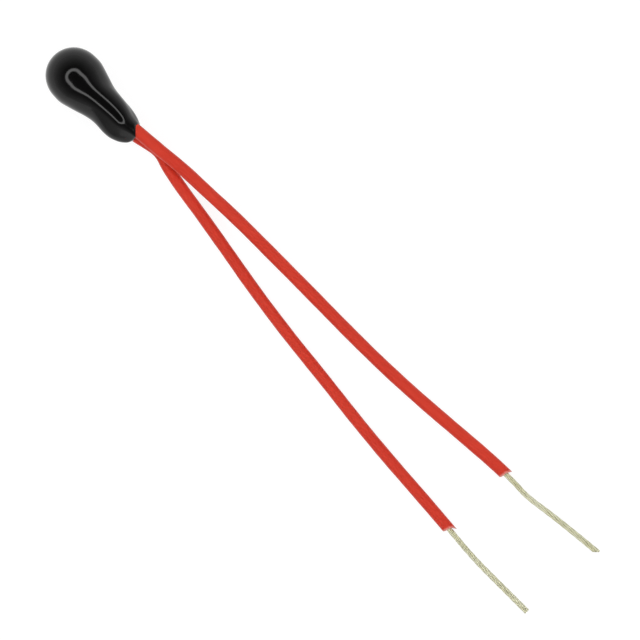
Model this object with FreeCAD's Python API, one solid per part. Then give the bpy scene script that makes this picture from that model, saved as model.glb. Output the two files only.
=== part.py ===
import FreeCAD, Part
import math
import os

from FreeCAD import Vector

# An epoxy-dipped NTC thermistor, in millimetres. It lies on the surface z = 0 as it comes to rest:
# on its bulb and on its two leads. The origin is under the middle of the head, on that surface.
# +X runs along the head towards the leads, +Y to the side of lead A, +Z up.

# Head: a drop of black epoxy, with a round bulb, a waist and a rounded tail.
DROP_LENGTH = 6.2
HEAD_DIAMETER = 3.0
BULB_FLAT = 0.25
SHOULDER_RADIUS = 1.65
TAPER_DEG = 16.6
WAIST_RADIUS = 4.3
NECK_DIAMETER = 1.95
TAIL_SIDE_RADIUS = 3.25
TAIL_END_RADIUS = 0.85

# Mouth: the epoxy creeps a short way out along each lead, as a film that thins to a slanted lip.
LIP_REACH = 0.1
LIP_STAGGER = 0.17
LIP_SLANT_DEG = 24.0
FILM_LENGTH = 0.85
FILM_AT_LIP = 0.02
FILM_AT_ROOT = 0.08

# Chip: a square of sintered oxide, cut from a plate that is silvered on both faces.
CHIP_WIDTH = 1.2
CHIP_THICKNESS = 0.5
ELECTRODE_THICKNESS = 0.03

# Solder: a barrel with tapered ends round the end of each conductor, flat where it wets the electrode.
SOLDER_BARREL = 0.7
SOLDER_RADIUS = 0.3
SOLDER_TAPER = 0.4
SOLDER_PAST_WIRE = 0.25
SOLDER_FILM = 0.03

# Leads: tinned strands, drawn as one round conductor, in a thin extruded insulation.
CONDUCTOR_DIAMETER = 0.3
INSULATION_DIAMETER = 0.68
CONDUCTOR_OVERLAP = 0.5
CONDUCTOR_STRAIGHT_A = 2.0
CONDUCTOR_STRAIGHT_B = 2.3
INSULATION_BURIED = 0.9
STRIP_A = 6.42
STRIP_B = 6.16
STRIP_SLANT_A_DEG = -17.0
STRIP_SLANT_B_DEG = -20.0
TIP_SLANT_A_DEG = -45.0

# Routes of the leads past their straight start, chosen by hand: distance from the middle of the bulb,
# offset to the side, and height over the surface.
ROUTE_A = [
    (7.0, 0.68, 1.74),
    (16.3, 0.94, 0.60),
    (24.9, 1.04, 0.34),
    (33.0, 1.735, 0.345),
    (37.97, 2.295, 0.15),
]
ROUTE_B = [
    (6.14, 0.375, 1.06),
    (8.3, -0.13, 0.92),
    (12.7, -0.76, 0.57),
    (21.4, -1.86, 0.34),
    (32.6, -2.72, 0.35),
    (37.55, -2.66, 0.15),
]
ARC_SHARE = 0.45

mouth_x = (DROP_LENGTH + LIP_REACH) / 2
bulb_x = HEAD_DIAMETER / 2 - mouth_x
axis_height = HEAD_DIAMETER / 2
bulb_middle = Vector(bulb_x, 0, axis_height)
lip_radius = INSULATION_DIAMETER / 2 + FILM_AT_LIP
lip_half_length = lip_radius * math.tan(math.radians(LIP_SLANT_DEG))
seat_height = CHIP_THICKNESS / 2 + ELECTRODE_THICKNESS
wire_height = seat_height + SOLDER_FILM + CONDUCTOR_DIAMETER / 2


def arc_step(start, heading_deg, radius, turn_deg):
    """Edge of an arc that turns by turn_deg, left if positive, with its end point and heading."""
    side = math.copysign(1, turn_deg)

    def on_circle(turned_deg):
        to_centre = math.radians(heading_deg + 90 * side)
        out = math.radians(heading_deg - 90 * side + turned_deg)
        centre = start + Vector(math.cos(to_centre), math.sin(to_centre), 0) * radius
        return centre + Vector(math.cos(out), math.sin(out), 0) * radius

    end = on_circle(turn_deg)
    return Part.Arc(start, on_circle(turn_deg / 2), end).toShape(), end, heading_deg + turn_deg


def line_step(start, heading_deg, length):
    """Edge of a straight line, with its end point."""
    heading = math.radians(heading_deg)
    end = start + Vector(math.cos(heading), math.sin(heading), 0) * length
    return Part.makeLine(start, end), end


def head_drop():
    """The drop, revolved from its half outline: nose, shoulder, taper, waist, neck and tail."""
    bulb_radius = HEAD_DIAMETER / 2
    neck_radius = NECK_DIAMETER / 2
    taper = math.radians(TAPER_DEG)
    curved_drop = (SHOULDER_RADIUS + WAIST_RADIUS) * (1 - math.cos(taper))
    taper_length = (bulb_radius - neck_radius - curved_drop) / math.sin(taper)
    tail_turn = math.acos((TAIL_SIDE_RADIUS - neck_radius) / (TAIL_SIDE_RADIUS - TAIL_END_RADIUS))
    tail_length = TAIL_END_RADIUS + (TAIL_SIDE_RADIUS - TAIL_END_RADIUS) * math.sin(tail_turn)
    neck_start = bulb_radius + BULB_FLAT + taper_length * math.cos(taper)
    neck_start += (SHOULDER_RADIUS + WAIST_RADIUS) * math.sin(taper)
    neck_length = DROP_LENGTH - neck_start - tail_length
    tail_deg = math.degrees(tail_turn)

    nose = Vector(bulb_x - bulb_radius, 0, 0)
    nose_arc, point, heading = arc_step(nose, 90, bulb_radius, -90)
    flat, point = line_step(point, heading, BULB_FLAT)
    shoulder, point, heading = arc_step(point, heading, SHOULDER_RADIUS, -TAPER_DEG)
    cone, point = line_step(point, heading, taper_length)
    waist, point, heading = arc_step(point, heading, WAIST_RADIUS, TAPER_DEG)
    neck, point = line_step(point, heading, neck_length)
    tail_side, point, heading = arc_step(point, heading, TAIL_SIDE_RADIUS, -tail_deg)
    tail_end, point, heading = arc_step(point, heading, TAIL_END_RADIUS, tail_deg - 90)
    axis = Part.makeLine(point, nose)

    outline = Part.Wire([nose_arc, flat, shoulder, cone, waist, neck, tail_side, tail_end, axis])
    drop = Part.Face(outline).revolve(Vector(0, 0, 0), Vector(1, 0, 0), 360)
    drop.translate(Vector(0, 0, axis_height))
    return drop


def lead_points(side, straight, free):
    """Route of one lead: straight over its electrode, then out. side is 1 above, -1 below."""
    height = axis_height + side * wire_height
    start = Vector(bulb_x - CONDUCTOR_OVERLAP, 0, height)
    bend = Vector(bulb_x + straight, 0, height)
    return [start, bend] + [Vector(bulb_x + x, y, z) for x, y, z in free]


def lead_route(name, points):
    """Wire of straight runs joined by tangent arcs, each as large as its two runs allow."""
    edges = []
    radii = []
    run_start = points[0]
    for before, corner, after in zip(points, points[1:], points[2:]):
        into = (corner - before).normalize()
        out = (after - corner).normalize()
        reach = ARC_SHARE * min((corner - before).Length, (after - corner).Length)
        half_turn = into.getAngle(out) / 2
        radius = reach / math.tan(half_turn)
        arc_start = corner - into * reach
        arc_end = corner + out * reach
        inward = (out - into).normalize()
        arc_middle = corner + inward * radius * (1 / math.cos(half_turn) - 1)
        edges.append(Part.LineSegment(run_start, arc_start).toShape())
        edges.append(Part.Arc(arc_start, arc_middle, arc_end).toShape())
        radii.append(radius)
        run_start = arc_end
    edges.append(Part.LineSegment(run_start, points[-1]).toShape())
    route = Part.Wire(edges)
    print(f"{name}: length {route.Length:.2f}, arc radii", [round(radius, 1) for radius in radii])
    return route


def tube(route, diameter):
    """Round bar along a route: a cylinder on each run and part of a ring on each arc."""
    bars = []
    for edge in route.Edges:
        start = edge.valueAt(edge.FirstParameter)
        end = edge.valueAt(edge.LastParameter)
        rim = Part.makeCircle(diameter / 2, start, edge.tangentAt(edge.FirstParameter))
        disc = Part.Face(Part.Wire([rim]))
        if edge.Curve.TypeId == "Part::GeomLine":
            bars.append(disc.extrude(end - start))
        else:
            turn_deg = math.degrees(edge.Length / edge.Curve.Radius)
            bars.append(disc.revolve(edge.Curve.Center, edge.Curve.Axis, turn_deg))
    bar = bars[0].fuse(bars[1:])
    section = math.pi * diameter ** 2 / 4
    print(f"  tube {diameter}: volume over section times length {bar.Volume / section / route.Length:.5f}")
    return bar


def past(point, direction):
    """A block that fills the space past a plane through point, on the side of direction."""
    reach = 10 * DROP_LENGTH
    return Part.makeCylinder(reach, reach, point, direction)


def slanted(slant_deg):
    """A direction along +X, turned towards +Y by slant_deg."""
    slant = math.radians(slant_deg)
    return Vector(math.cos(slant), math.sin(slant), 0)


def crossing(route, x):
    """Point where a route crosses the plane at x."""
    reach = route.BoundBox.DiagonalLength
    rim = Part.makeCircle(reach, Vector(x, 0, axis_height), Vector(1, 0, 0))
    return route.section(Part.Face(Part.Wire([rim]))).Vertexes[0].Point


def film(route, lip_x):
    """Epoxy on one lead: a slight cone from inside the drop to the slanted lip round lip_x."""
    lip_middle = crossing(route, lip_x)
    root = crossing(route, lip_x - FILM_LENGTH)
    along = lip_middle - root
    root_radius = INSULATION_DIAMETER / 2 + FILM_AT_ROOT
    cone = Part.makeCone(root_radius, lip_radius, along.Length + lip_half_length, root, along)
    return cone.cut(past(lip_middle, slanted(LIP_SLANT_DEG)))


def head_with_lips(route_a, route_b):
    """The drop, and the films on the leads. The lip on lead B lies furthest out."""
    lip_b_x = mouth_x - lip_half_length
    lip_a_x = lip_b_x - LIP_STAGGER
    return head_drop().fuse([film(route_a, lip_a_x), film(route_b, lip_b_x)])


def chip():
    """Square chip in the middle of the bulb."""
    corner = bulb_middle - Vector(CHIP_WIDTH, CHIP_WIDTH, CHIP_THICKNESS) / 2
    return Part.makeBox(CHIP_WIDTH, CHIP_WIDTH, CHIP_THICKNESS, corner)


def electrode(side):
    """Silver layer over one whole face of the chip."""
    layer_middle = bulb_middle + Vector(0, 0, side * (CHIP_THICKNESS + ELECTRODE_THICKNESS) / 2)
    corner = layer_middle - Vector(CHIP_WIDTH, CHIP_WIDTH, ELECTRODE_THICKNESS) / 2
    return Part.makeBox(CHIP_WIDTH, CHIP_WIDTH, ELECTRODE_THICKNESS, corner)


def solder(side, conductor):
    """Solder barrel round a conductor's end, cut flat on its electrode."""
    wire_end = bulb_middle + Vector(-CONDUCTOR_OVERLAP, 0, side * wire_height)
    nose = wire_end - Vector(SOLDER_PAST_WIRE, 0, 0)
    taper = Vector(SOLDER_TAPER, 0, 0)
    barrel = Vector(SOLDER_BARREL, 0, 0)
    rise = Vector(0, SOLDER_RADIUS, 0)
    corners = [nose, nose + taper + rise, nose + taper + barrel + rise, nose + taper * 2 + barrel]
    outline = Part.makePolygon(corners + corners[:1])
    blob = Part.Face(outline).revolve(nose, Vector(1, 0, 0), 360)
    seat = bulb_middle + Vector(0, 0, side * seat_height)
    return blob.cut([past(seat, Vector(0, 0, -side)), conductor])


def insulation(route, conductor, strip, slant_deg):
    """Insulation from inside the head to the slanted cut where the lead is stripped."""
    start = crossing(route, mouth_x - INSULATION_BURIED)
    cut_middle = crossing(route, route.Vertexes[-1].X - strip)
    ends = [past(start, Vector(-1, 0, 0)), past(cut_middle, slanted(slant_deg))]
    return tube(route, INSULATION_DIAMETER).cut(ends + [conductor])


def snipped(wire, tip, slant_deg):
    """A wire cut aslant through its whole end, so that only one side of it still reaches the tip."""
    back = CONDUCTOR_DIAMETER / 2 * math.tan(math.radians(abs(slant_deg)))
    return wire.cut(past(tip - Vector(back, 0, 0), slanted(slant_deg)))


points_a = lead_points(1, CONDUCTOR_STRAIGHT_A, ROUTE_A)
points_b = lead_points(-1, CONDUCTOR_STRAIGHT_B, ROUTE_B)
route_a = lead_route("lead A", points_a)
wire_a = tube(route_a, CONDUCTOR_DIAMETER)
route_b = lead_route("lead B", points_b)
wire_b = tube(route_b, CONDUCTOR_DIAMETER)

parts = {
    "ntc_chip": chip(),
    "electrode_top": electrode(1),
    "electrode_bottom": electrode(-1),
    "solder_top": solder(1, wire_a),
    "solder_bottom": solder(-1, wire_b),
    "conductor_a": snipped(wire_a, points_a[-1], TIP_SLANT_A_DEG),
    "conductor_b": wire_b,
    "insulation_a": insulation(route_a, wire_a, STRIP_A, STRIP_SLANT_A_DEG),
    "insulation_b": insulation(route_b, wire_b, STRIP_B, STRIP_SLANT_B_DEG),
}
parts["epoxy_coat"] = head_with_lips(route_a, route_b).cut(list(parts.values()))

os.makedirs("parts", exist_ok=True)
for node, shape in parts.items():
    solid = shape.Solids[0] if len(shape.Solids) == 1 else shape
    box = solid.BoundBox
    print(f"{node}: valid {solid.isValid()}, solids {len(shape.Solids)}, volume {solid.Volume:.4f},"
          f" x {box.XMin:.3f} to {box.XMax:.3f}, z {box.ZMin:.4f} to {box.ZMax:.3f}")
    solid.exportStep(f"parts/{node}.step")
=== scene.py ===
import math

import bmesh
import bpy
import numpy as np
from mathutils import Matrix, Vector


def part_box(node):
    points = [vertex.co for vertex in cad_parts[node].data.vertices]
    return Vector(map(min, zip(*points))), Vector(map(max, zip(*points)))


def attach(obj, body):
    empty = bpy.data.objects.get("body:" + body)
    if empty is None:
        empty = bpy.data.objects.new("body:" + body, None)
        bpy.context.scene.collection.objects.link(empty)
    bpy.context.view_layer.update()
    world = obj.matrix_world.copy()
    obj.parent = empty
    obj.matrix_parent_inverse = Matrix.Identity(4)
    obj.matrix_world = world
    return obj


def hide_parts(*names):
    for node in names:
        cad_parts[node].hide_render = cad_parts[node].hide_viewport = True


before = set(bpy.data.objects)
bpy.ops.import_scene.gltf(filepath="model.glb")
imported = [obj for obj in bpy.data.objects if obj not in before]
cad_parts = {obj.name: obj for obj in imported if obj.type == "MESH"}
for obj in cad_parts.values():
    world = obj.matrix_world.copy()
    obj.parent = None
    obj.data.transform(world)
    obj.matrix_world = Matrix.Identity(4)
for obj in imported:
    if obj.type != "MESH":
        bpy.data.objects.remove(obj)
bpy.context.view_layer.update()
scene = bpy.context.scene
scene.view_settings.view_transform = "Standard"

# Camera
# It looks straight down on the part. A very long lens from far above keeps the rays nearly parallel, and
# the place of the bulb and the turn of the head in the photograph fix where it stands.
PHOTO_PIXELS = 640
BULB_PIXEL_RIGHT = 73.5
BULB_PIXEL_DOWN = 75.2
BULB_WIDTH_PIXELS = 56.0
HEAD_TURN_DEG = 45.7
CAMERA_HEIGHT = 1.5

head_low, head_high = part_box("epoxy_coat")
bulb_radius = (head_high.y - head_low.y) / 2
bulb_middle = Vector((head_low.x + bulb_radius, 0, bulb_radius))
head_turn = math.radians(HEAD_TURN_DEG)
photo_right = Vector((math.cos(head_turn), math.sin(head_turn), 0))
photo_down = Vector((math.sin(head_turn), -math.cos(head_turn), 0))
pixel = 2 * bulb_radius / BULB_WIDTH_PIXELS
photo_middle = bulb_middle + photo_right * pixel * (PHOTO_PIXELS / 2 - BULB_PIXEL_RIGHT)
photo_middle += photo_down * pixel * (PHOTO_PIXELS / 2 - BULB_PIXEL_DOWN)

camera_data = bpy.data.cameras.new("camera")
camera_data.sensor_width = 36
camera_data.lens = camera_data.sensor_width * (CAMERA_HEIGHT - bulb_middle.z) / (PHOTO_PIXELS * pixel)
camera_data.clip_start = 0.1
camera_data.clip_end = 20
camera = bpy.data.objects.new("camera", camera_data)
camera.location = (photo_middle.x, photo_middle.y, CAMERA_HEIGHT)
camera.rotation_euler = (0, 0, head_turn)
scene.collection.objects.link(camera)
scene.camera = camera

# Conductors
# Each lead's conductor is seven strands of tinned copper twisted together, one length from the solder on
# the chip to the bare tip. The strands are swept along the lead's line in Geometry Nodes.
MM = 0.001
WIRE_START = -0.5
CHIP_HEIGHT = 1.5
WIRE_FROM_CHIP = 0.46
LINE_STEPS = 24
OUTER_STRANDS = 6
STRAND_SIDES = 10
STRAND_RADIUS = 0.058
STRAND_RING = 0.098
STRAND_LAY = 3.2
STRAND_STEP = 0.12
TIP_SNIP_A = 0.06
TIP_SLANT_A_DEG = -45.0

# Each lead's line runs near these points, in millimetres: along the head from the middle of the bulb, to
# the side that lead A leaves on, and up from the floor. Lead B has a kink just past the head.
ROUTE_A = [
    (1.3, 0.0, 1.96),
    (3.0, 0.21, 1.90),
    (4.6, 0.355, 1.85),
    (6.1, 0.50, 1.765),
    (7.7, 0.69, 1.64),
    (9.4, 0.76, 1.445),
    (11.6, 0.885, 1.18),
    (14.3, 0.91, 0.865),
    (17.2, 0.935, 0.625),
    (20.3, 0.935, 0.475),
    (23.0, 1.00, 0.40),
    (25.6, 1.165, 0.357),
    (28.2, 1.405, 0.345),
    (30.6, 1.62, 0.345),
    (32.2, 1.665, 0.345),
    (33.1, 1.605, 0.325),
    (35.2, 1.955, 0.26),
    (37.97, 2.25, 0.155),
]
ROUTE_B = [
    (1.3, 0.0, 1.04),
    (2.7, -0.02, 1.04),
    (3.7, -0.06, 1.05),
    (4.6, 0.08, 1.055),
    (5.3, 0.26, 1.055),
    (5.95, 0.41, 1.045),
    (6.4, 0.37, 1.03),
    (6.86, 0.215, 1.01),
    (7.4, 0.085, 0.985),
    (8.6, -0.12, 0.895),
    (10.1, -0.32, 0.775),
    (12.3, -0.665, 0.615),
    (15.0, -1.11, 0.51),
    (18.0, -1.495, 0.427),
    (21.0, -1.765, 0.373),
    (23.8, -2.07, 0.346),
    (26.4, -2.28, 0.344),
    (29.0, -2.425, 0.344),
    (31.3, -2.57, 0.344),
    (33.5, -2.74, 0.32),
    (35.55, -2.715, 0.235),
    (37.55, -2.685, 0.155),
]


def new_material(name):
    """A material with its Principled shader, ready for more nodes."""
    material = bpy.data.materials.new(name)
    material.use_nodes = True
    return material, material.node_tree, material.node_tree.nodes["Principled BSDF"]


def add_node(tree, kind, settings=(), **inputs):
    """A node with its settings and the values of its inputs, by name."""
    node = tree.nodes.new(kind)
    for name, value in settings:
        setattr(node, name, value)
    for name, value in inputs.items():
        node.inputs[name.replace("_", " ")].default_value = value
    return node


def lead_line(name, side, route):
    """A mesh of a lead's smooth line: a NURBS spline with the route as its control points.

    The side is 1 for the lead over the chip and -1 for the lead under it.
    """
    start = (WIRE_START, 0.0, CHIP_HEIGHT + side * WIRE_FROM_CHIP)
    points = [start] + route
    data = bpy.data.curves.new(name, "CURVE")
    data.dimensions = "3D"
    data.resolution_u = LINE_STEPS
    spline = data.splines.new("NURBS")
    spline.points.add(len(points) - 1)
    for point, (x, y, z) in zip(spline.points, points):
        point.co = (bulb_middle.x + x * MM, y * MM, z * MM, 1)
    spline.order_u = 3
    spline.use_endpoint_u = True
    curve = bpy.data.objects.new(name, data)
    scene.collection.objects.link(curve)
    line = bpy.data.meshes.new_from_object(curve)
    bpy.data.objects.remove(curve)
    return line


def mesh_points(line):
    """The places of a line's points, one to a row."""
    return np.array([vertex.co for vertex in line.vertices])


def twisted_strands():
    """Geometry Nodes: a core strand on the line it is given, and a ring of strands twisted round it."""
    tree = bpy.data.node_groups.new("twisted strands", "GeometryNodeTree")
    face = tree.interface
    face.new_socket("Geometry", in_out="INPUT", socket_type="NodeSocketGeometry")
    for name in ("Strand radius", "Ring radius", "Lay", "Step"):
        face.new_socket(name, in_out="INPUT", socket_type="NodeSocketFloat")
    face.new_socket("Outer strands", in_out="INPUT", socket_type="NodeSocketInt")
    face.new_socket("Material", in_out="INPUT", socket_type="NodeSocketMaterial")
    face.new_socket("Geometry", in_out="OUTPUT", socket_type="NodeSocketGeometry")
    link = tree.links.new
    given = tree.nodes.new("NodeGroupInput")

    def math_node(operation, first, second=None):
        node = add_node(tree, "ShaderNodeMath", [("operation", operation)])
        for socket, value in zip(node.inputs, (first, second)):
            if isinstance(value, (int, float)):
                socket.default_value = value
            elif value is not None:
                link(value, socket)
        return node.outputs[0]

    def vector_node(operation, first, second):
        node = add_node(tree, "ShaderNodeVectorMath", [("operation", operation)])
        link(first, node.inputs[0])
        link(second, node.inputs["Scale" if operation == "SCALE" else 1])
        return node.outputs["Vector"]

    as_curve = tree.nodes.new("GeometryNodeMeshToCurve")
    even = add_node(tree, "GeometryNodeResampleCurve", [("mode", "LENGTH")])
    link(given.outputs["Geometry"], as_curve.inputs["Mesh"])
    link(as_curve.outputs["Curve"], even.inputs["Curve"])
    link(given.outputs["Step"], even.inputs["Length"])

    ring = add_node(tree, "GeometryNodeDuplicateElements", [("domain", "SPLINE")])
    link(even.outputs["Curve"], ring.inputs["Geometry"])
    link(given.outputs["Outer strands"], ring.inputs["Amount"])
    along = tree.nodes.new("GeometryNodeSplineParameter")
    normal = tree.nodes.new("GeometryNodeInputNormal").outputs[0]
    tangent = tree.nodes.new("GeometryNodeInputTangent").outputs[0]
    binormal = vector_node("CROSS_PRODUCT", tangent, normal)
    turns = math_node("DIVIDE", along.outputs["Length"], given.outputs["Lay"])
    place = math_node("DIVIDE", ring.outputs["Duplicate Index"], given.outputs["Outer strands"])
    angle = math_node("MULTIPLY", math_node("ADD", turns, place), 2 * math.pi)

    # The bundle is tight where it leaves the insulation and opens a little towards the tip.
    spread = add_node(tree, "ShaderNodeMapRange", From_Min=0.84, From_Max=1.0, To_Min=0.93, To_Max=1.06)
    link(along.outputs["Factor"], spread.inputs["Value"])
    reach = math_node("MULTIPLY", given.outputs["Ring radius"], spread.outputs["Result"])
    across = vector_node("SCALE", normal, math_node("MULTIPLY", math_node("COSINE", angle), reach))
    upward = vector_node("SCALE", binormal, math_node("MULTIPLY", math_node("SINE", angle), reach))
    moved = tree.nodes.new("GeometryNodeSetPosition")
    link(ring.outputs["Geometry"], moved.inputs["Geometry"])
    link(vector_node("ADD", across, upward), moved.inputs["Offset"])

    bundle = tree.nodes.new("GeometryNodeJoinGeometry")
    link(moved.outputs["Geometry"], bundle.inputs["Geometry"])
    link(even.outputs["Curve"], bundle.inputs["Geometry"])
    section = add_node(tree, "GeometryNodeCurvePrimitiveCircle", Resolution=STRAND_SIDES)
    link(given.outputs["Strand radius"], section.inputs["Radius"])
    swept = add_node(tree, "GeometryNodeCurveToMesh", Fill_Caps=True)
    link(bundle.outputs["Geometry"], swept.inputs["Curve"])
    link(section.outputs["Curve"], swept.inputs["Profile Curve"])
    smooth = tree.nodes.new("GeometryNodeSetShadeSmooth")
    link(swept.outputs["Mesh"], smooth.inputs["Geometry"])
    real = tree.nodes.new("GeometryNodeRealizeInstances")
    link(smooth.outputs["Geometry"], real.inputs["Geometry"])
    painted = tree.nodes.new("GeometryNodeSetMaterial")
    link(real.outputs["Geometry"], painted.inputs["Geometry"])
    link(given.outputs["Material"], painted.inputs["Material"])
    result = tree.nodes.new("NodeGroupOutput")
    link(painted.outputs["Geometry"], result.inputs["Geometry"])
    return tree


def surface_grain():
    """A shader group: noise that shifts the colour, the polish and the height of a surface a little."""
    group = bpy.data.node_groups.new("surface grain", "ShaderNodeTree")
    face = group.interface
    face.new_socket("Grain", in_out="INPUT", socket_type="NodeSocketVector")
    for name in ("Darker", "Lighter"):
        face.new_socket(name, in_out="INPUT", socket_type="NodeSocketColor")
    for name in ("Smoothest", "Roughest", "Relief"):
        face.new_socket(name, in_out="INPUT", socket_type="NodeSocketFloat")
    face.new_socket("Color", in_out="OUTPUT", socket_type="NodeSocketColor")
    face.new_socket("Roughness", in_out="OUTPUT", socket_type="NodeSocketFloat")
    face.new_socket("Normal", in_out="OUTPUT", socket_type="NodeSocketVector")
    link = group.links.new
    given = group.nodes.new("NodeGroupInput")
    result = group.nodes.new("NodeGroupOutput")
    place = group.nodes.new("ShaderNodeTexCoord")
    scaled = add_node(group, "ShaderNodeVectorMath", [("operation", "MULTIPLY")])
    link(place.outputs["Object"], scaled.inputs[0])
    link(given.outputs["Grain"], scaled.inputs[1])
    cloud = add_node(group, "ShaderNodeTexNoise", Scale=1.0, Detail=3.0, Roughness=0.55)
    link(scaled.outputs["Vector"], cloud.inputs["Vector"])
    share = add_node(group, "ShaderNodeMapRange", From_Min=0.3, From_Max=0.7)
    link(cloud.outputs["Fac"], share.inputs["Value"])
    tint = add_node(group, "ShaderNodeMixRGB")
    link(share.outputs["Result"], tint.inputs["Fac"])
    link(given.outputs["Darker"], tint.inputs["Color1"])
    link(given.outputs["Lighter"], tint.inputs["Color2"])
    link(tint.outputs["Color"], result.inputs["Color"])
    polish = group.nodes.new("ShaderNodeMapRange")
    link(cloud.outputs["Fac"], polish.inputs["Value"])
    link(given.outputs["Smoothest"], polish.inputs["To Min"])
    link(given.outputs["Roughest"], polish.inputs["To Max"])
    link(polish.outputs["Result"], result.inputs["Roughness"])
    bump = add_node(group, "ShaderNodeBump", Distance=0.01 * MM)
    link(given.outputs["Relief"], bump.inputs["Strength"])
    link(cloud.outputs["Fac"], bump.inputs["Height"])
    link(bump.outputs["Normal"], result.inputs["Normal"])
    return group


grain_group = surface_grain()


def add_grain(tree, shader, grain, darker, lighter, smoothest, roughest, relief):
    """Places the grain in a material and links it to the shader."""
    node = add_node(
        tree, "ShaderNodeGroup", [("node_tree", grain_group)], Grain=grain, Darker=(*darker, 1),
        Lighter=(*lighter, 1), Smoothest=smoothest, Roughest=roughest, Relief=relief,
    )
    tree.links.new(node.outputs["Color"], shader.inputs["Base Color"])
    tree.links.new(node.outputs["Roughness"], shader.inputs["Roughness"])
    tree.links.new(node.outputs["Normal"], shader.inputs["Normal"])
    return node


def tinned_material():
    """Tinned copper: pale, slightly yellow and dull, with streaks along the strands."""
    material, tree, shader = new_material("tinned strands")
    add_grain(
        tree, shader, grain=(900, 2600, 2600), darker=(0.575, 0.56, 0.37), lighter=(0.70, 0.695, 0.535),
        smoothest=0.36, roughest=0.56, relief=0.25,
    )
    shader.inputs["Metallic"].default_value = 1.0
    return material


def make_conductor(name, line, tree, material):
    """The strands of one lead, baked from the nodes to a plain mesh."""
    carrier = bpy.data.objects.new(name + "_line", line.copy())
    scene.collection.objects.link(carrier)
    modifier = carrier.modifiers.new("strands", "NODES")
    modifier.node_group = tree
    given = {
        "Strand radius": STRAND_RADIUS * MM,
        "Ring radius": STRAND_RING * MM,
        "Lay": STRAND_LAY * MM,
        "Step": STRAND_STEP * MM,
        "Outer strands": OUTER_STRANDS,
        "Material": material,
    }
    for socket in tree.interface.items_tree:
        if socket.in_out == "INPUT" and socket.name in given:
            modifier[socket.identifier] = given[socket.name]
    depsgraph = bpy.context.evaluated_depsgraph_get()
    mesh = bpy.data.meshes.new_from_object(carrier.evaluated_get(depsgraph))
    carrier.modifiers.remove(modifier)
    bpy.data.objects.remove(carrier)
    conductor = bpy.data.objects.new(name, mesh)
    scene.collection.objects.link(conductor)
    return conductor


def snip(piece, point, slant_deg):
    """Cuts a piece off past a slanted plane through point, and closes what was cut."""
    slant = math.radians(slant_deg)
    mesh = bmesh.new()
    mesh.from_mesh(piece.data)
    cut = bmesh.ops.bisect_plane(
        mesh,
        geom=mesh.verts[:] + mesh.edges[:] + mesh.faces[:],
        plane_co=point,
        plane_no=(math.cos(slant), math.sin(slant), 0),
        clear_outer=True,
    )
    rim = [item for item in cut["geom_cut"] if isinstance(item, bmesh.types.BMEdge)]
    bmesh.ops.holes_fill(mesh, edges=rim, sides=0)
    bmesh.ops.recalc_face_normals(mesh, faces=mesh.faces[:])
    mesh.to_mesh(piece.data)
    mesh.free()


strands_tree = twisted_strands()
tinned = tinned_material()
line_a = lead_line("lead_a_line", 1, ROUTE_A)
line_b = lead_line("lead_b_line", -1, ROUTE_B)
strands_a = make_conductor("strands_a", line_a, strands_tree, tinned)
strands_b = make_conductor("strands_b", line_b, strands_tree, tinned)
snip(strands_a, mesh_points(line_a)[-1] - np.array((TIP_SNIP_A, 0, 0)) * MM, TIP_SLANT_A_DEG)
for piece, node in ((strands_a, "conductor_a"), (strands_b, "conductor_b")):
    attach(piece, "root")
    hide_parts(node)

# Insulation
# Each conductor is extruded over with thin red plastic. It starts inside the head and ends in a ragged,
# slanted cut where it was stripped by hand: a nib on lead A, and a thin flap of the wall on lead B.
INSULATION_START = 3.85
CUT_MIDDLE_A = 31.46
CUT_MIDDLE_B = 31.45
INSULATION_RADIUS_A = 0.342
INSULATION_RADIUS_B = 0.326
BORE_RADIUS = 0.16
INSULATION_SIDES = 32
INSULATION_STEP = 0.1
CUT_BLEND = 0.9
CUT_SLANT_A_DEG = 16
CUT_SLANT_B_DEG = 18
NIB_REACH = 0.06
NIB_WIDTH_DEG = 30
FLAP_REACH = 0.16
FLAP_WIDTH_DEG = 32

# The walls' radius waves a little along the lead, by a share of itself and at a pace in radians a
# millimetre. A cut's edge has teeth: how deep in millimetres, how many to a turn, and turned by how much.
WALL_WAVES = ((0.008, 2.1), (0.006, 5.3))
CUT_TEETH = ((0.018, 3, 0.6), (0.012, 7, 2.0))


def smooth_share(value):
    """A value held between 0 and 1 and eased at both ends."""
    share = np.clip(value, 0, 1)
    return share * share * (3 - 2 * share)


def lead_frames(points):
    """Unit vectors along a line, to its side and upwards, at each of its points."""
    along = np.gradient(points, axis=0)
    along /= np.linalg.norm(along, axis=1, keepdims=True)
    side = np.cross((0, 0, 1), along)
    side /= np.linalg.norm(side, axis=1, keepdims=True)
    return along, side, np.cross(along, side)


def even_points(points, start_x, end_x, step):
    """Points at an even step along a line between two places in x, and how far each is past the last."""
    runs = np.linalg.norm(np.diff(points, axis=0), axis=1)
    reach = np.concatenate(([0], np.cumsum(runs)))
    first = np.interp(start_x, points[:, 0], reach)
    last = np.interp(end_x, points[:, 0], reach)
    stations = np.linspace(first, last, int((last - first) / step) + 1)
    places = np.stack([np.interp(stations, reach, points[:, i]) for i in range(3)], axis=1)
    return places, stations - last


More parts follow.
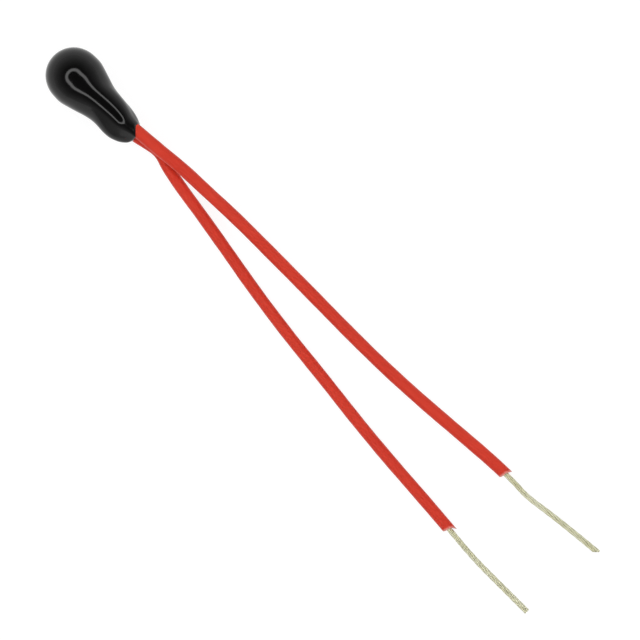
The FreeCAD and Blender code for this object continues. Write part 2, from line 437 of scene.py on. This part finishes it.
def make_insulation(name, line, radius, cut_x, outer_cut, inner_cut, material):
    """A tube with an outer wall and a bore. The cuts say how far past cut_x each goes, by angle."""
    start_x = bulb_middle.x + INSULATION_START * MM
    end_x = bulb_middle.x + cut_x * MM
    points, from_end = even_points(mesh_points(line), start_x, end_x, INSULATION_STEP * MM)
    along, side, up = lead_frames(points)
    rings = len(points)
    sides = INSULATION_SIDES
    angles = np.arange(sides) * 2 * math.pi / sides
    share = smooth_share(1 + from_end / (CUT_BLEND * MM))[:, None]
    wave = np.ones((rings, 1))
    for depth, pace in WALL_WAVES:
        wave += depth * np.sin(from_end / MM * pace)[:, None]
    walls = []
    for wall_radius, cut in ((radius, outer_cut), (BORE_RADIUS, inner_cut)):
        shift = share * cut(angles)[None, :] * MM
        size = wall_radius * MM * wave
        ring = points[:, None, :] + along[:, None, :] * shift[:, :, None]
        ring = ring + side[:, None, :] * (size * np.cos(angles))[:, :, None]
        ring = ring + up[:, None, :] * (size * np.sin(angles))[:, :, None]
        walls.append(ring.reshape(-1, 3))
    inner = rings * sides
    faces = []
    for row in range(rings - 1):
        for column in range(sides):
            a = row * sides + column
            b = row * sides + (column + 1) % sides
            faces.append((a, b, b + sides, a + sides))
            faces.append((inner + a, inner + a + sides, inner + b + sides, inner + b))
    for row in (0, rings - 1):
        for column in range(sides):
            a = row * sides + column
            b = row * sides + (column + 1) % sides
            end_face = (a, inner + a, inner + b, b)
            faces.append(end_face if row == 0 else end_face[::-1])
    mesh = bpy.data.meshes.new(name)
    mesh.from_pydata([tuple(vertex) for vertex in np.concatenate(walls)], [], faces)
    mesh.update()
    mesh.shade_smooth()
    from_cut = np.tile(np.repeat(-from_end / MM, sides), 2)
    attribute = mesh.attributes.new("from_cut", "FLOAT", "POINT")
    attribute.data.foreach_set("value", from_cut.astype(np.float32))
    for edge in mesh.edges:
        first, second = edge.vertices
        ends = {first // sides % rings, second // sides % rings}
        if ends in ({0}, {rings - 1}):
            edge.use_edge_sharp = True
    mesh.materials.append(material)
    tube = bpy.data.objects.new(name, mesh)
    scene.collection.objects.link(tube)
    return tube


def red_material():
    """Red plastic with a satin finish, faint draw marks from the extruder and a paler edge at the cut."""
    material, tree, shader = new_material("red insulation")
    grain = add_grain(
        tree, shader, grain=(260, 1500, 1500), darker=(0.635, 0.038, 0.018), lighter=(0.695, 0.048, 0.023),
        smoothest=0.38, roughest=0.52, relief=0.2,
    )
    near_cut = add_node(tree, "ShaderNodeAttribute", [("attribute_name", "from_cut")])
    edge = add_node(tree, "ShaderNodeMapRange", From_Min=0.0, From_Max=0.14, To_Min=1.0, To_Max=0.0)
    tree.links.new(near_cut.outputs["Fac"], edge.inputs["Value"])
    pale = add_node(tree, "ShaderNodeMixRGB", Color2=(0.80, 0.33, 0.28, 1))
    tree.links.new(edge.outputs["Result"], pale.inputs["Fac"])
    tree.links.new(grain.outputs["Color"], pale.inputs["Color1"])
    tree.links.new(pale.outputs["Color"], shader.inputs["Base Color"])
    shader.inputs["Specular IOR Level"].default_value = 0.15
    shader.inputs["Sheen Weight"].default_value = 0.12
    shader.inputs["Sheen Roughness"].default_value = 0.4
    shader.inputs["Subsurface Weight"].default_value = 0.1
    shader.inputs["Subsurface Radius"].default_value = (1.0, 0.2, 0.1)
    shader.inputs["Subsurface Scale"].default_value = 0.0002
    return material


def slanted_cut(radius, slant_deg, extra=0.0, extra_width_deg=NIB_WIDTH_DEG):
    """How far a cut wall goes at each angle: a slant, furthest at +Y, a tongue there and a ragged edge."""
    def reach(angles):
        slant = radius * math.tan(math.radians(slant_deg)) * np.cos(angles)
        from_tongue = (angles + math.pi) % (2 * math.pi) - math.pi
        tongue = extra * np.exp(-(from_tongue / math.radians(extra_width_deg)) ** 2)
        ragged = sum(depth * np.sin(count * angles + turn) for depth, count, turn in CUT_TEETH)
        return slant + tongue + ragged
    return reach


red = red_material()
insulation_a = make_insulation(
    "red_insulation_a", line_a, INSULATION_RADIUS_A, CUT_MIDDLE_A,
    slanted_cut(INSULATION_RADIUS_A, CUT_SLANT_A_DEG, NIB_REACH, NIB_WIDTH_DEG),
    slanted_cut(BORE_RADIUS, CUT_SLANT_A_DEG), red,
)
insulation_b = make_insulation(
    "red_insulation_b", line_b, INSULATION_RADIUS_B, CUT_MIDDLE_B,
    slanted_cut(INSULATION_RADIUS_B, CUT_SLANT_B_DEG, FLAP_REACH, FLAP_WIDTH_DEG),
    slanted_cut(BORE_RADIUS, CUT_SLANT_B_DEG), red,
)
for piece, node in ((insulation_a, "insulation_a"), (insulation_b, "insulation_b")):
    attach(piece, "root")
    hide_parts(node)

# Chip and joints
# The sensing element that the epoxy hides: a sawn chip of sintered metal oxide with fired silver on its two
# faces, and a lump of solder on each face that holds the end of a conductor.
INNER_RELIEF = 0.4


def inner_material(name, grain, darker, lighter, smoothest, roughest, metallic):
    """A material with an even grain, for what the epoxy hides."""
    material, tree, shader = new_material(name)
    add_grain(tree, shader, (grain, grain, grain), darker, lighter, smoothest, roughest, INNER_RELIEF)
    shader.inputs["Metallic"].default_value = metallic
    return material


oxide = inner_material("oxide ceramic", 4000, (0.07, 0.065, 0.06), (0.12, 0.11, 0.10), 0.75, 0.95, 0.0)
silver = inner_material("silver paste", 3000, (0.74, 0.73, 0.70), (0.82, 0.81, 0.78), 0.45, 0.65, 1.0)
solder = inner_material("bright solder", 1600, (0.60, 0.60, 0.57), (0.70, 0.70, 0.67), 0.25, 0.42, 1.0)
for node, material in (
    ("ntc_chip", oxide),
    ("electrode_top", silver),
    ("electrode_bottom", silver),
    ("solder_top", solder),
    ("solder_bottom", solder),
):
    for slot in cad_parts[node].material_slots:
        slot.material = material

# Head
# The chip and its two solder joints were dipped in black epoxy, which ran down to a round bulb and drew
# out over the leads. The coat is a drop that swells over lead A and thins to a lip on each lead.
NOSE_ROWS = 40
BODY_ROWS = 96
MOUTH_ROWS = 60
HEAD_SIDES = 144
MOUTH_ORIGIN = (3.95, 0.22, -0.02)
RAY_REACH = 2.0
RAY_HALVINGS = 22
RAY_BATCHES = 12
DROP_BLEND = 0.36
LEAD_BLEND = 0.2
LIP_BLEND = 0.1

# The drop's outline is a chain of arcs and straight lines, from the nose to the tail.
DROP_LENGTH = 6.2
BULB_RADIUS = 1.5
BULB_FLAT = 0.25
SHOULDER_RADIUS = 1.65
TAPER_DEG = 16.6
WAIST_RADIUS = 4.3
NECK_RADIUS = 0.975
TAIL_SIDE_RADIUS = 3.25
TAIL_END_RADIUS = 0.85
ARC_POINTS = 60
LINE_POINTS = 30
OUTLINE_POINTS = 360
OUTLINE_WINDOW = 60
OUTLINE_SOFTNESS = 0.09

# The tables below give values at places along the head, from the middle of the bulb. This is how far they
# reach, and how softly one value goes over into the next.
TABLE_SPAN = (-0.6, 5.6)
TABLE_STEP = 0.01
TABLE_WINDOW = 50
TABLE_SOFTNESS = 0.14

# The ridge over lead A: its crest over the bulb's axis, its radius across, and its offset to the side of
# lead A. It ends a little short of the lip.
RIDGE_FROM_LIP = 0.03
RIDGE_AT = (-0.3, 0.2, 0.6, 1.0, 1.5, 2.0, 2.5, 3.0, 3.4, 3.6, 3.8, 4.0, 4.2, 4.4, 4.8)
RIDGE_CREST = (1.10, 1.30, 1.42, 1.42, 1.36, 1.30, 1.24, 1.185, 1.15, 1.13, 1.04, 0.945, 0.855, 0.77, 0.61)
RIDGE_RADIUS = (1.00, 1.20, 1.20, 1.04, 0.86, 0.87, 0.84, 0.77, 0.69, 0.64, 0.58, 0.52, 0.46, 0.40, 0.33)
RIDGE_OFFSET = (0.0, 0.0, 0.01, 0.02, 0.08, 0.13, 0.17, 0.19, 0.17, 0.15, 0.15, 0.18, 0.22, 0.26, 0.31)

# The foot of the flank that comes down from the ridge towards lead B: its place to the side and its height.
LOW_AT = (-0.3, 1.0, 2.0, 2.6, 3.2, 3.55, 3.75, 4.0, 4.3, 4.5, 4.7)
LOW_SIDE = (0.0, 0.01, 0.08, -0.07, -0.26, -0.32, -0.36, -0.33, -0.26, -0.11, 0.02)
LOW_HEIGHT = (0.0, 0.30, 0.38, 0.20, 0.06, 0.05, 0.05, 0.05, -0.06, -0.10, -0.10)

# How much the drop is pressed in: from above, from the sides (under 1 it is let out), and from above once
# more on lead B's side, where a part of that goes to the side as well.
FLAT_AT = (-0.9, 0.1, 0.8, 1.2, 1.6, 2.2, 2.7, 3.1, 3.7, 4.0, 4.4)
FLAT_SHARE = (1.0, 1.0, 1.0, 1.02, 1.05, 1.07, 1.10, 1.16, 1.25, 1.3, 1.35)
SIDE_SHARE = (1.0, 0.975, 0.957, 0.955, 0.955, 0.97, 0.985, 0.985, 0.98, 0.98, 0.98)
LEAN_SHARE = (0.0, 0.0, 0.0, 0.0, 0.0, 0.05, 0.15, 0.3, 0.3, 0.3, 0.3)
LEAN_WIDTH = 0.5
LEAN_TO_SIDE = 0.35

# Where the epoxy ends on each lead (on lead A by the place across the head), the stretch of the leads that
# the coat is measured from, and how thick it is on each lead by the way back from its end.
LIP_A_ACROSS = (-0.60, -0.12, 0.06, 0.50)
LIP_A_AT = (4.52, 4.73, 4.70, 4.27)
LIP_B_AT = 4.73
COAT_SPAN = (0.8, 5.05)
COAT_STEPS = (-0.12, -0.03, 0.0, 0.04, 0.14, 0.45, 1.0, 2.2, 3.2)
COAT_A = (-0.12, -0.05, 0.006, 0.01, 0.01, 0.015, 0.03, 0.07, 0.05)
COAT_B = (-0.12, -0.05, 0.006, 0.02, 0.05, 0.10, 0.15, 0.15, 0.10)


def arc_points(start, heading_deg, radius, turn_deg):
    """Points on an arc that turns by turn_deg, left if positive, with its end point and heading."""
    side = math.copysign(1, turn_deg)
    to_centre = math.radians(heading_deg + 90 * side)
    centre = start + radius * np.array((math.cos(to_centre), math.sin(to_centre)))
    out = np.radians(heading_deg - 90 * side + np.linspace(0, turn_deg, ARC_POINTS))
    points = centre + radius * np.stack((np.cos(out), np.sin(out)), axis=1)
    return points, points[-1], heading_deg + turn_deg


def line_points(start, heading_deg, length):
    """Points on a straight line, with its end point."""
    heading = math.radians(heading_deg)
    reach = np.linspace(0, length, LINE_POINTS)[:, None]
    points = start + reach * np.array((math.cos(heading), math.sin(heading)))
    return points, points[-1]


def drop_outline():
    """Half of the drop's outline, a little smoothed, in millimetres from the middle of the bulb."""
    taper = math.radians(TAPER_DEG)
    bends = SHOULDER_RADIUS + WAIST_RADIUS
    taper_length = (BULB_RADIUS - NECK_RADIUS - bends * (1 - math.cos(taper))) / math.sin(taper)
    tail_turn = math.acos((TAIL_SIDE_RADIUS - NECK_RADIUS) / (TAIL_SIDE_RADIUS - TAIL_END_RADIUS))
    tail_length = TAIL_END_RADIUS + (TAIL_SIDE_RADIUS - TAIL_END_RADIUS) * math.sin(tail_turn)
    neck_start = BULB_RADIUS + BULB_FLAT + taper_length * math.cos(taper) + bends * math.sin(taper)
    neck_length = DROP_LENGTH - neck_start - tail_length
    tail_deg = math.degrees(tail_turn)
    nose, point, heading = arc_points(np.array((-BULB_RADIUS, 0.0)), 90, BULB_RADIUS, -90)
    top, point = line_points(point, heading, BULB_FLAT)
    over, point, heading = arc_points(point, heading, SHOULDER_RADIUS, -TAPER_DEG)
    cone, point = line_points(point, heading, taper_length)
    dip, point, heading = arc_points(point, heading, WAIST_RADIUS, TAPER_DEG)
    straight, point = line_points(point, heading, neck_length)
    tail, point, heading = arc_points(point, heading, TAIL_SIDE_RADIUS, -tail_deg)
    end, point, heading = arc_points(point, heading, TAIL_END_RADIUS, tail_deg - 90)
    rough = np.concatenate((nose, top, over, cone, dip, straight, tail, end))
    runs = np.linalg.norm(np.diff(rough, axis=0), axis=1)
    reach = np.concatenate(([0], np.cumsum(runs)))
    even = np.linspace(0, reach[-1], OUTLINE_POINTS)
    half = np.stack([np.interp(even, reach, rough[:, i]) for i in range(2)], axis=1)
    mirrored = half[::-1] * (1, -1)
    whole = np.concatenate((mirrored[:-1], half, mirrored[1:]))
    window = np.arange(-OUTLINE_WINDOW, OUTLINE_WINDOW + 1) * even[1]
    weight = np.exp(-(window / OUTLINE_SOFTNESS) ** 2 / 2)
    weight /= weight.sum()
    soft = np.stack([np.convolve(whole[:, i], weight, mode="same") for i in range(2)], axis=1)
    return soft[len(mirrored) - 1:len(mirrored) - 1 + len(half)]


def drop_distance(points, outline):
    """Distance from points to the drop's skin, negative inside."""
    flat = np.stack((points[:, 0], np.hypot(points[:, 1], points[:, 2])), axis=1)
    start = outline[:-1]
    run = np.diff(outline, axis=0)
    share = ((flat[:, None, :] - start) * run).sum(axis=2) / (run ** 2).sum(axis=1)
    share = np.clip(share, 0, 1)
    gap = flat[:, None, :] - start - share[:, :, None] * run
    square = (gap ** 2).sum(axis=2)
    nearest = square.argmin(axis=1)
    rows = np.arange(len(flat))
    gap = gap[rows, nearest]
    run = run[nearest]
    outside = run[:, 0] * gap[:, 1] - run[:, 1] * gap[:, 0]
    return np.copysign(np.sqrt(square[rows, nearest]), outside)


def line_distance(points, line):
    """Distance from points to a lead's line."""
    start = line[:-1]
    run = np.diff(line, axis=0)
    share = ((points[:, None, :] - start) * run).sum(axis=2) / (run ** 2).sum(axis=1)
    share = np.clip(share, 0, 1)
    gap = points[:, None, :] - start - share[:, :, None] * run
    return np.sqrt((gap ** 2).sum(axis=2).min(axis=1))


def smooth_union(first, second, blend):
    """The distance to two bodies joined by a fillet."""
    near = np.maximum(blend - np.abs(first - second), 0) / blend
    return np.minimum(first, second) - near ** 3 * blend / 6


def lip_a(points):
    """Where the epoxy ends on lead A: further out on the side of lead B, and rounded off past it."""
    return np.interp(points[:, 1], LIP_A_ACROSS, LIP_A_AT)


def eased(places, stations, values):
    """A table's values at places along the head, without corners at its stations."""
    fine = np.arange(*TABLE_SPAN, TABLE_STEP)
    rough = np.interp(fine, stations, values)
    window = np.arange(-TABLE_WINDOW, TABLE_WINDOW + 1) * TABLE_STEP
    weight = np.exp(-(window / TABLE_SOFTNESS) ** 2 / 2)
    soft = np.convolve(np.pad(rough, TABLE_WINDOW, mode="edge"), weight / weight.sum(), mode="valid")
    return np.interp(places, fine, soft)


def ridge_distance(points):
    """Distance, across the head, to the ridge over lead A with its flank towards lead B."""
    along = points[:, 0]
    radius = eased(along, RIDGE_AT, RIDGE_RADIUS)
    height = eased(along, RIDGE_AT, RIDGE_CREST) - radius
    offset = eased(along, RIDGE_AT, RIDGE_OFFSET)
    low_side = eased(along, LOW_AT, LOW_SIDE)
    low_height = eased(along, LOW_AT, LOW_HEIGHT)
    run = np.stack((low_side - offset, low_height - height), axis=1)
    from_crest = points[:, 1:] - np.stack((offset, height), axis=1)
    share = np.clip((from_crest * run).sum(axis=1) / (run ** 2).sum(axis=1), 0, 1)
    gap = np.linalg.norm(from_crest - share[:, None] * run, axis=1) - radius
    outside = np.maximum(RIDGE_AT[0] - along, along - RIDGE_AT[-1])
    past_lip = along - lip_a(points) + RIDGE_FROM_LIP
    return -smooth_union(-np.maximum(gap, outside), -past_lip, LIP_BLEND)


def head_distance(points, outline, centre_a, centre_b):
    """Distance to the skin of the whole head: the drop joined smoothly to the coat on each lead."""
    along = points[:, 0]
    coat_a = INSULATION_RADIUS_A + np.interp(lip_a(points) - along, COAT_STEPS, COAT_A)
    coat_b = INSULATION_RADIUS_B + np.interp(LIP_B_AT - along, COAT_STEPS, COAT_B)
    lean = eased(along, FLAT_AT, LEAN_SHARE) * np.clip(0.5 - points[:, 1] / LEAN_WIDTH, 0, 1)
    flatter = np.where(points[:, 2] > 0, eased(along, FLAT_AT, FLAT_SHARE) * (1 + lean), 1.0)
    slimmer = eased(along, FLAT_AT, SIDE_SHARE) * (1 + LEAN_TO_SIDE * lean * (points[:, 1] < 0))
    pressed = points * np.stack((np.ones(len(points)), slimmer, flatter), axis=1)
    drop = smooth_union(drop_distance(pressed, outline), ridge_distance(points), DROP_BLEND)
    on_a = line_distance(points, centre_a) - coat_a
    on_b = line_distance(points, centre_b) - coat_b
    leads = smooth_union(on_a, on_b, LEAD_BLEND)
    return smooth_union(drop, leads, LIP_BLEND)


def head_rays():
    """Where the head's mesh looks for the skin from: round the bulb, along the body, round the mouth."""
    origins = []
    tilts = []
    mouth = np.array(MOUTH_ORIGIN)
    for row in range(1, NOSE_ROWS + 1):
        origins.append(np.zeros(3))
        tilts.append(math.pi / 2 * row / NOSE_ROWS)
    for row in range(1, BODY_ROWS + 1):
        origins.append(mouth * row / BODY_ROWS)
        tilts.append(math.pi / 2)
    for row in range(1, MOUTH_ROWS):
        origins.append(mouth)
        tilts.append(math.pi / 2 * (1 + row / MOUTH_ROWS))
    angles = np.arange(HEAD_SIDES) * 2 * math.pi / HEAD_SIDES
    starts = np.repeat(np.array(origins), HEAD_SIDES, axis=0)
    tilt = np.repeat(np.array(tilts), HEAD_SIDES)
    angle = np.tile(angles, len(origins))
    heading = np.stack((-np.cos(tilt), np.sin(tilt) * np.cos(angle), np.sin(tilt) * np.sin(angle)), axis=1)
    ends = np.array(((0.0, 0.0, 0.0), MOUTH_ORIGIN))
    end_headings = np.array(((-1.0, 0.0, 0.0), (1.0, 0.0, 0.0)))
    return np.concatenate((starts, ends)), np.concatenate((heading, end_headings)), len(origins)


def make_head(material):
    """The head's mesh. The skin is found on each ray by halving the stretch that it must lie in.

    Every second point of the outline and every third of the leads' lines is close enough for it.
    """
    outline = drop_outline()[::2]
    from_bulb = np.array((bulb_middle.x, 0, bulb_middle.z))
    centres = []
    for line in (line_a, line_b):
        points = (mesh_points(line) - from_bulb) / MM
        coated = (points[:, 0] > COAT_SPAN[0]) & (points[:, 0] < COAT_SPAN[1])
        centres.append(points[coated][::3])
    starts, headings, rows = head_rays()
    near = np.zeros(len(starts))
    far = np.full(len(starts), RAY_REACH)
    for _ in range(RAY_HALVINGS):
        middle = (near + far) / 2
        places = starts + headings * middle[:, None]
        batches = np.array_split(places, RAY_BATCHES)
        gap = np.concatenate([head_distance(batch, outline, *centres) for batch in batches])
        inside = gap < 0
        near = np.where(inside, middle, near)
        far = np.where(inside, far, middle)
    skin = from_bulb + (starts + headings * near[:, None]) * MM
    nose = rows * HEAD_SIDES
    tail = nose + 1
    faces = []
    for column in range(HEAD_SIDES):
        beside = (column + 1) % HEAD_SIDES
        faces.append((nose, beside, column))
        for row in range(rows - 1):
            a = row * HEAD_SIDES + column
            b = row * HEAD_SIDES + beside
            faces.append((a, b, b + HEAD_SIDES, a + HEAD_SIDES))
        last = (rows - 1) * HEAD_SIDES
        faces.append((last + column, last + beside, tail))
    mesh = bpy.data.meshes.new("epoxy_head")
    mesh.from_pydata([tuple(point) for point in skin], [], faces)
    mesh.update()
    fixed = bmesh.new()
    fixed.from_mesh(mesh)
    bmesh.ops.recalc_face_normals(fixed, faces=fixed.faces[:])
    fixed.to_mesh(mesh)
    fixed.free()
    mesh.shade_smooth()
    mesh.materials.append(material)
    head = bpy.data.objects.new("epoxy_head", mesh)
    scene.collection.objects.link(head)
    return head


def epoxy_material():
    """Black epoxy that ran and cured: a deep gloss, with the slight ripple and clouding of a dipped coat."""
    material, tree, shader = new_material("black epoxy")
    add_grain(
        tree, shader, grain=(1100, 1100, 1100), darker=(0.0021, 0.0022, 0.0020),
        lighter=(0.0038, 0.0036, 0.0038), smoothest=0.07, roughest=0.13, relief=0.15,
    )
    shader.inputs["IOR"].default_value = 1.35
    return material


head = make_head(epoxy_material())
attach(head, "root")
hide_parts("epoxy_coat")

# Floor and light
# White paper under the part, in a soft studio light: a ring of light above, dark in the middle where the
# camera looks through, and pale walls that get brighter towards the floor.
FLOOR_HALF = 3.0
RING_STRENGTH = 4.5
LIGHT_TILT_ALONG_DEG = 8.5
LIGHT_TILT_ACROSS_DEG = -4.0

# How strong the light is, by the angle in degrees from the middle of the ring.
RING_STOPS = [
    (0.0, 0.04),
    (24.5, 0.04),
    (26.5, RING_STRENGTH),
    (35.0, RING_STRENGTH),
    (37.5, 0.08),
    (47.0, 0.11),
    (60.0, 0.30),
    (72.0, 0.50),
    (90.0, 0.90),
]


def make_world():
    """The studio's light, round an axis that leans a little, with a white backdrop for the camera."""
    world = bpy.data.worlds.new("studio")
    world.use_nodes = True
    tree = world.node_tree
    tree.nodes.clear()
    link = tree.links.new
    along = math.tan(math.radians(LIGHT_TILT_ALONG_DEG))
    across = math.tan(math.radians(LIGHT_TILT_ACROSS_DEG))
    axis = Vector((along, across, 1)).normalized()
    place = tree.nodes.new("ShaderNodeTexCoord")
    towards = add_node(tree, "ShaderNodeVectorMath", [("operation", "DOT_PRODUCT")])
    towards.inputs[1].default_value = axis
    link(place.outputs["Generated"], towards.inputs[0])
    angle = add_node(tree, "ShaderNodeMath", [("operation", "ARCCOSINE")])
    link(towards.outputs["Value"], angle.inputs[0])
    share = add_node(tree, "ShaderNodeMath", [("operation", "DIVIDE")])
    share.inputs[1].default_value = math.pi / 2
    link(angle.outputs[0], share.inputs[0])
    ramp = tree.nodes.new("ShaderNodeValToRGB")
    stops = ramp.color_ramp.elements
    while len(stops) < len(RING_STOPS):
        stops.new(1.0)
    for stop, (degrees, strength) in zip(stops, RING_STOPS):
        stop.position = degrees / 90
        value = strength / RING_STRENGTH
        stop.color = (value, value, value, 1)
    link(share.outputs[0], ramp.inputs["Fac"])
    studio = add_node(tree, "ShaderNodeBackground", Strength=RING_STRENGTH)
    link(ramp.outputs["Color"], studio.inputs["Color"])
    backdrop = add_node(tree, "ShaderNodeBackground", Color=(1, 1, 1, 1), Strength=1.0)
    rays = tree.nodes.new("ShaderNodeLightPath")
    mixed = tree.nodes.new("ShaderNodeMixShader")
    link(rays.outputs["Is Camera Ray"], mixed.inputs[0])
    link(studio.outputs[0], mixed.inputs[1])
    link(backdrop.outputs[0], mixed.inputs[2])
    out = tree.nodes.new("ShaderNodeOutputWorld")
    link(mixed.outputs[0], out.inputs["Surface"])
    return world


def make_floor():
    """Paper that gives the part its light from below, and looks evenly white in the view and in gloss."""
    material = bpy.data.materials.new("white paper")
    material.use_nodes = True
    tree = material.node_tree
    tree.nodes.clear()
    link = tree.links.new
    paper = add_node(tree, "ShaderNodeBsdfDiffuse", Color=(0.9, 0.9, 0.9, 1))
    dim_paper = add_node(tree, "ShaderNodeBsdfDiffuse", Color=(0.2, 0.2, 0.2, 1))
    glow = add_node(tree, "ShaderNodeEmission", Color=(1, 1, 1, 1), Strength=0.88)
    seen = tree.nodes.new("ShaderNodeAddShader")
    link(dim_paper.outputs[0], seen.inputs[0])
    link(glow.outputs[0], seen.inputs[1])
    rays = tree.nodes.new("ShaderNodeLightPath")
    camera_or_glossy = add_node(tree, "ShaderNodeMath", [("operation", "MAXIMUM")])
    link(rays.outputs["Is Camera Ray"], camera_or_glossy.inputs[0])
    link(rays.outputs["Is Glossy Ray"], camera_or_glossy.inputs[1])
    any_of_three = add_node(tree, "ShaderNodeMath", [("operation", "MAXIMUM")])
    link(camera_or_glossy.outputs[0], any_of_three.inputs[0])
    link(rays.outputs["Is Transmission Ray"], any_of_three.inputs[1])
    mixed = tree.nodes.new("ShaderNodeMixShader")
    link(any_of_three.outputs[0], mixed.inputs[0])
    link(paper.outputs[0], mixed.inputs[1])
    link(seen.outputs[0], mixed.inputs[2])
    out = tree.nodes.new("ShaderNodeOutputMaterial")
    link(mixed.outputs[0], out.inputs["Surface"])
    mesh = bpy.data.meshes.new("floor")
    corners = [(-1, -1, 0), (1, -1, 0), (1, 1, 0), (-1, 1, 0)]
    mesh.from_pydata([Vector(corner) * FLOOR_HALF for corner in corners], [], [(0, 1, 2, 3)])
    mesh.materials.append(material)
    floor = bpy.data.objects.new("floor", mesh)
    scene.collection.objects.link(floor)


scene.world = make_world()
make_floor()
